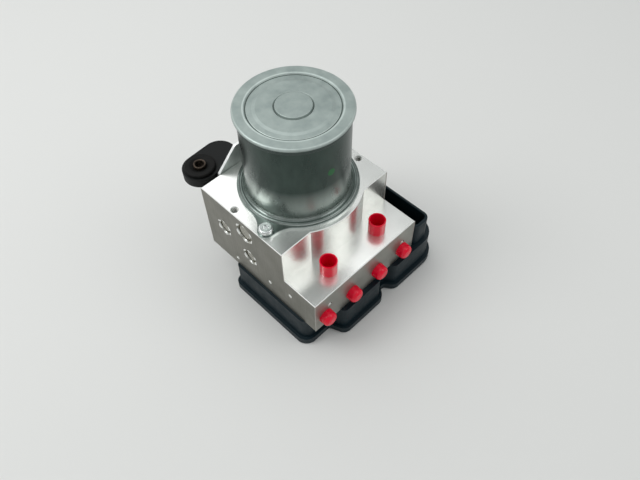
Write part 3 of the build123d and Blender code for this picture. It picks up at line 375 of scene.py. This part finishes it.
frame["nodes"]["mount_tube"].data.materials[0] = phosphated_steel
frame["nodes"]["ball_plugs"].data.materials[0] = highlit_ball_steel

# ================================================================ pieces


def new_piece(name, mesh, body):
    """A mesh that is already in place becomes a piece that rides on a body."""
    piece = bpy.data.objects.new(name, mesh)
    bpy.context.scene.collection.objects.link(piece)
    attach(piece, body)
    return piece


def new_tree(name, inputs):
    """A geometry tree with named inputs; returns the tree, its input node and its output node."""
    tree = bpy.data.node_groups.new(name, "GeometryNodeTree")
    tree.interface.new_socket("Geometry", in_out="OUTPUT", socket_type="NodeSocketGeometry")
    for label, kind in inputs:
        tree.interface.new_socket(label, in_out="INPUT", socket_type=kind)
    return tree, tree.nodes.new("NodeGroupInput"), tree.nodes.new("NodeGroupOutput")


def close_tree(tree, geometry, entry, leave):
    """Ends a tree: its instances become real and take the tree's material."""
    real = add_node(tree, "GeometryNodeRealizeInstances", {"Geometry": geometry})
    coated = add_node(tree, "GeometryNodeSetMaterial",
                      {"Geometry": real.outputs[0], "Material": entry.outputs["Material"]})
    tree.links.new(coated.outputs[0], leave.inputs[0])


def grown(tree, values):
    """The mesh that a tree makes from these inputs."""
    holder = bpy.data.objects.new("holder", bpy.data.meshes.new("holder"))
    bpy.context.scene.collection.objects.link(holder)
    modifier = holder.modifiers.new("grow", "NODES")
    modifier.node_group = tree
    for item in tree.interface.items_tree:
        if item.in_out == "INPUT" and item.name in values:
            modifier[item.identifier] = values[item.name]
    evaluated = holder.evaluated_get(bpy.context.evaluated_depsgraph_get())
    mesh = bpy.data.meshes.new_from_object(evaluated)
    holder.modifiers.remove(modifier)
    bpy.data.objects.remove(holder)
    return mesh


def joined(name, meshes, material):
    """Several meshes as one."""
    surface = bmesh.new()
    for mesh in meshes:
        surface.from_mesh(mesh)
    bmesh.ops.remove_doubles(surface, verts=surface.verts, dist=0.001 * MM)
    whole = bpy.data.meshes.new(name)
    surface.to_mesh(whole)
    surface.free()
    whole.materials.clear()
    whole.materials.append(material)
    return whole


def grown_piece(name, tree, rows, material):
    """A piece on the block, joined from the meshes that a tree makes, one from each row."""
    meshes = [grown(tree, {**row, "Material": material}) for row in rows]
    return new_piece(name, joined(name, meshes, material), "unit")


def rounded(corners, steps=5):
    """A profile from corners (radius out, height, rounding), with short flats held at each arc."""
    flat = 1.15                             # a point past each arc holds the flat beside it
    points = []
    for number, (out, high, rounding) in enumerate(corners):
        here = Vector((out, high))
        if rounding == 0:
            points.append(here)
            continue
        before = (Vector(corners[number - 1][:2]) - here).normalized()
        after = (Vector(corners[number + 1][:2]) - here).normalized()
        half = before.angle(after) / 2
        reach = rounding / tan(half)
        middle = here + (before + after).normalized() * rounding / sin(half)
        start, end = here + before * reach - middle, here + after * reach - middle
        points.append(here + before * reach * flat)
        points += [middle + start.slerp(end, step / steps).normalized() * rounding
                   for step in range(steps + 1)]
        points.append(here + after * reach * flat)
    return points


def turned(name, profile, segments, material):
    """A closed shape turned about the upright axis from a profile in millimetres."""
    surface = bmesh.new()
    rings = []
    for out, high in profile:
        if out == 0:
            rings.append([surface.verts.new((0, 0, high * MM))])
            continue
        rings.append([
            surface.verts.new((out * MM * cos(2 * pi * i / segments),
                               out * MM * sin(2 * pi * i / segments), high * MM))
            for i in range(segments)
        ])
    for ring, following in zip(rings, rings[1:]):
        for i in range(segments):
            j = (i + 1) % segments
            corners = [ring[i % len(ring)], ring[j % len(ring)],
                       following[j % len(following)], following[i % len(following)]]
            surface.faces.new(list(dict.fromkeys(corners)))
    bmesh.ops.recalc_face_normals(surface, faces=surface.faces)
    mesh = bpy.data.meshes.new(name)
    surface.to_mesh(mesh)
    surface.free()
    mesh.shade_smooth()
    mesh.materials.append(material)
    return mesh


# the lid: pressed from sheet, with a rolled rim over a skirt, a ring groove, a shallow dish and a
# boss in a groove of its own; inside it a seat holds the upper bearing
top = lid_high.z / MM - boss_height
foot = lid_low.z / MM
lid_radius = lid_high.x / MM
skirt_radius = lid_radius - 1.1
skirt_inside = 36.05
ceiling = top - 2.65
seat_top, seat_foot = top - 1.3, top - 3.8
seat_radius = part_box("upper_bearing")[1].x / MM + 0.05
seat_outside = seat_radius + 2.0
lid_profile = rounded([
    (0.0, top + boss_height, 0),
    (11.6, top + 0.5, 0.25),
    (11.9, top - 1.0, 0.15),
    (12.4, top - 1.0, 0.15),
    (12.9, top - 0.2, 0.2),
    (23.4, top - 0.2, 1.5),
    (25.6, top - 0.6, 1.0),
    (28.8, top - 0.7, 0.3),
    (29.3, top - 1.1, 0.15),
    (29.7, top - 1.1, 0.15),
    (30.4, top, 0.45),
    (lid_radius, top, 1.3),
    (lid_radius, top - 1.9, 0.4),
    (skirt_radius, top - 2.4, 0.25),
    (skirt_radius, foot, 0.4),
    (skirt_inside, foot, 0),
    (skirt_inside, ceiling, 0),
    (seat_outside, ceiling, 0),
    (seat_outside, seat_foot, 0),
    (seat_radius, seat_foot, 0),
    (seat_radius, seat_top, 0),
    (0.0, seat_top, 0),
])
lid_mesh = turned("pressed_lid", lid_profile, 144, coated_lid)
lid = new_piece("pressed_lid", lid_mesh, "unit")
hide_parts("motor_lid")

# marks of the staking punch round each closure
staking, entry, leave = new_tree("staking marks", (
    ("Ring Radius", "NodeSocketFloat"),
    ("Mark Length", "NodeSocketFloat"),
    ("Mark Width", "NodeSocketFloat"),
    ("Mark Height", "NodeSocketFloat"),
    ("Count", "NodeSocketInt"),
    ("Seed", "NodeSocketInt"),
    ("Place", "NodeSocketVector"),
    ("Turn", "NodeSocketRotation"),
    ("Material", "NodeSocketMaterial"),
))
ring = add_node(staking, "GeometryNodeMeshCircle",
                {"Vertices": entry.outputs["Count"], "Radius": entry.outputs["Ring Radius"]})
ball = add_node(staking, "GeometryNodeMeshIcoSphere", {"Radius": 0.5, "Subdivisions": 3})
mark = add_node(staking, "GeometryNodeSetShadeSmooth", {"Geometry": ball.outputs["Mesh"]})
outwards = add_node(staking, "FunctionNodeAlignRotationToVector",
                    {"Vector": add_node(staking, "GeometryNodeInputPosition").outputs[0]},
                    axis="Y", pivot_axis="Z")
size = add_node(staking, "ShaderNodeCombineXYZ",
                {"X": entry.outputs["Mark Length"], "Y": entry.outputs["Mark Width"],
                 "Z": entry.outputs["Mark Height"]})
wobble = add_node(staking, "FunctionNodeRandomValue",
                  {"Min": (0.7, 0.75, 0.8), "Max": (1.2, 1.15, 1.1),
                   "Seed": entry.outputs["Seed"]}, data_type="FLOAT_VECTOR")
uneven = add_node(staking, "ShaderNodeVectorMath",
                  {0: size.outputs[0], 1: wobble.outputs["Value"]}, operation="MULTIPLY")
placed = add_node(staking, "GeometryNodeInstanceOnPoints",
                  {"Points": ring.outputs["Mesh"], "Instance": mark.outputs[0],
                   "Rotation": outwards.outputs["Rotation"], "Scale": uneven.outputs["Vector"]})
moved = add_node(staking, "GeometryNodeTransform",
                 {"Geometry": placed.outputs[0], "Translation": entry.outputs["Place"],
                  "Rotation": entry.outputs["Turn"]})
close_tree(staking, moved.outputs[0], entry, leave)

closure_places = ((0.0, 77.0, 8.0), (-2.2, 52.0, 6.5), (23.3, 63.0, 6.5))   # y, z, radius in mm
mark_sinking = 0.75 * MM                    # the marks' middles lie this far under the side face
side_faces = (                              # where the marks lie, and their turn, in degrees
    (block_low.x + mark_sinking, -90.0),
    (block_high.x - mark_sinking, 90.0),
)
stakes = [
    {
        "Ring Radius": (radius - 0.1) * MM,
        "Mark Length": 5.2 * MM,
        "Mark Width": 2.5 * MM,
        "Mark Height": 2.1 * MM,
        "Count": 6,
        "Seed": side * len(closure_places) + number,
        "Place": (x, y * MM, z * MM),
        "Turn": (0.0, radians(turn), 0.0),
    }
    for side, (x, turn) in enumerate(side_faces)
    for number, (y, z, radius) in enumerate(closure_places)
]
grown_piece("closure_stakes", staking, stakes, burred_aluminium)

# crests of the thread in the two open holes on top
thread, entry, leave = new_tree("thread crests", (
    ("Hole Radius", "NodeSocketFloat"),
    ("Crest", "NodeSocketFloat"),
    ("Pitch", "NodeSocketFloat"),
    ("Turns", "NodeSocketInt"),
    ("Place", "NodeSocketVector"),
    ("Material", "NodeSocketMaterial"),
))
path = add_node(thread, "GeometryNodeCurvePrimitiveCircle",
                {"Resolution": 32, "Radius": entry.outputs["Hole Radius"]})
crest = add_node(thread, "GeometryNodeCurvePrimitiveCircle",
                 {"Resolution": 6, "Radius": entry.outputs["Crest"]})
turn = add_node(thread, "GeometryNodeCurveToMesh",
                {"Curve": path.outputs["Curve"], "Profile Curve": crest.outputs["Curve"]})
step = add_node(thread, "ShaderNodeMath", {0: entry.outputs["Pitch"], 1: -1.0},
                operation="MULTIPLY")
levels = add_node(thread, "GeometryNodeMeshLine",
                  {"Count": entry.outputs["Turns"], "Start Location": entry.outputs["Place"],
                   "Offset": add_node(thread, "ShaderNodeCombineXYZ",
                                      {"Z": step.outputs[0]}).outputs[0]})
stacked = add_node(thread, "GeometryNodeInstanceOnPoints",
                   {"Points": levels.outputs["Mesh"], "Instance": turn.outputs["Mesh"]})
close_tree(thread, stacked.outputs[0], entry, leave)

hole_places = ((-47.5, 11.9), (44.4, -14.6))    # x, y in mm
first_crest = block_high.z - 1.4 * MM
crests = [
    {
        "Hole Radius": 2.5 * MM,
        "Crest": 0.25 * MM,
        "Pitch": 1.0 * MM,
        "Turns": 10,
        "Place": (x * MM, y * MM, first_crest),
    }
    for x, y in hole_places
]
grown_piece("thread_crests", thread, crests, machined_aluminium)

# upright edges of the block, broken by a scraper: a fine light line down each
scraping, entry, leave = new_tree("scraped edges", (
    ("Radius", "NodeSocketFloat"),
    ("Start", "NodeSocketVector"),
    ("End", "NodeSocketVector"),
    ("Material", "NodeSocketMaterial"),
))
edge = add_node(scraping, "GeometryNodeCurvePrimitiveLine",
                {"Start": entry.outputs["Start"], "End": entry.outputs["End"]})
section = add_node(scraping, "GeometryNodeCurvePrimitiveCircle",
                   {"Resolution": 12, "Radius": entry.outputs["Radius"]})
strip = add_node(scraping, "GeometryNodeCurveToMesh",
                 {"Curve": edge.outputs["Curve"], "Profile Curve": section.outputs["Curve"],
                  "Fill Caps": True})
close_tree(scraping, strip.outputs[0], entry, leave)

step_top = 60.2 * MM
riser_y = block_low.y + 29.3 * MM
edge_gap = 0.6 * MM                         # the lines stop short of the corners
upright_edges = (                           # y, foot and head of each pair of edges
    (block_low.y, block_low.z, step_top),
    (riser_y, step_top, block_high.z),
    (block_high.y, block_low.z, block_high.z),
)
strips = [
    {
        "Radius": 0.25 * MM,
        "Start": (x, y, low + edge_gap),
        "End": (x, y, high - edge_gap),
    }
    for y, low, high in upright_edges
    for x in (block_low.x, block_high.x)
]
grown_piece("scraped_edges", scraping, strips, scraped_aluminium)

# each accumulator's spring becomes a piece of its own, a copy of the coil in drawn spring wire
for side in ("left", "right"):
    node = f"accumulator_spring_{side}"
    coil = joined(f"return_spring_{side}", [frame["nodes"][node].data], drawn_wire)
    spring = new_piece(f"return_spring_{side}", coil, "unit")
    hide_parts(node)
    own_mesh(spring)

# the inspector's dot on the can: a disc of paint that hugs the wall
dot_angle, dot_height, dot_radius = radians(-96.2), 128.2 * MM, 2.7 * MM
paint_reach = can_radius + 0.04 * MM
surface = bmesh.new()
bmesh.ops.create_circle(surface, cap_ends=True, cap_tris=True, segments=24, radius=dot_radius)
bmesh.ops.subdivide_edges(surface, edges=surface.edges, cuts=2)
for vert in surface.verts:
    angle = dot_angle + vert.co.x / can_radius
    vert.co = Vector((paint_reach * cos(angle), paint_reach * sin(angle),
                      dot_height + vert.co.y))
bmesh.ops.recalc_face_normals(surface, faces=surface.faces)
dot_mesh = bpy.data.meshes.new("inspection_dot")
surface.to_mesh(dot_mesh)
surface.free()
dot_mesh.materials.append(green_paint)
new_piece("inspection_dot", dot_mesh, "unit")

# ================================================================ studio and camera

floor_half = 3.0
floor_corners = [(x * floor_half, y * floor_half, 0)
                 for x, y in ((-1, -1), (1, -1), (1, 1), (-1, 1))]
floor_mesh = bpy.data.meshes.new("floor")
floor_mesh.from_pydata(floor_corners, [], [(0, 1, 2, 3)])
floor_mesh.materials.append(finish("pale studio paper", "#dcdcda", 0.9)[0])
floor = bpy.data.objects.new("floor", floor_mesh)
bpy.context.scene.collection.objects.link(floor)

world = bpy.data.worlds.new("soft room")
bpy.context.scene.world = world
world.use_nodes = True
background = world.node_tree.nodes["Background"]
background.inputs["Color"].default_value = srgb("#e4e8e8")
background.inputs["Strength"].default_value = 0.6


def soft_lamp(name, place, target, size, power):
    """A white area lamp at a place, turned to a target."""
    data = bpy.data.lights.new(name, "AREA")
    data.shape = "RECTANGLE"
    data.size, data.size_y = size
    data.energy = power
    lamp = bpy.data.objects.new(name, data)
    bpy.context.scene.collection.objects.link(lamp)
    lamp.location = place
    lamp.rotation_euler = (Vector(target) - Vector(place)).to_track_quat("-Z", "Y").to_euler()


centre = (0.0, -0.01, 0.06)
soft_lamp("rear panel", (0.12, 0.6, 1.2), (0.12, 0.6, 0.0), (1.15, 1.5), 5.9)
soft_lamp("front panel", (0.45, -0.7, 1.0), centre, (0.7, 0.7), 2.2)
soft_lamp("key", (-0.68, 0.5, 1.05), centre, (0.6, 0.6), 5.2)

camera_data = bpy.data.cameras.new("camera")
camera_data.sensor_width = 36.0
camera_data.lens = 34.93
camera_data.clip_start = 0.01
camera_data.clip_end = 20.0
camera = bpy.data.objects.new("camera", camera_data)
bpy.context.scene.collection.objects.link(camera)
stand = Vector((-188.5, -217.7, 408.4)) * MM
aim = Vector((5.94, -13.72, 28.0)) * MM
tilt = radians(-1.53)
ahead = (aim - stand).normalized()
level_right = ahead.cross(Vector((0, 0, 1))).normalized()
level_up = level_right.cross(ahead)
right = level_right * cos(tilt) + level_up * sin(tilt)
up = level_up * cos(tilt) - level_right * sin(tilt)
facing = Matrix((right, up, -ahead)).transposed()
camera.matrix_world = Matrix.Translation(stand) @ facing.to_4x4()
bpy.context.scene.camera = camera
bpy.context.scene.view_settings.view_transform = "Standard"
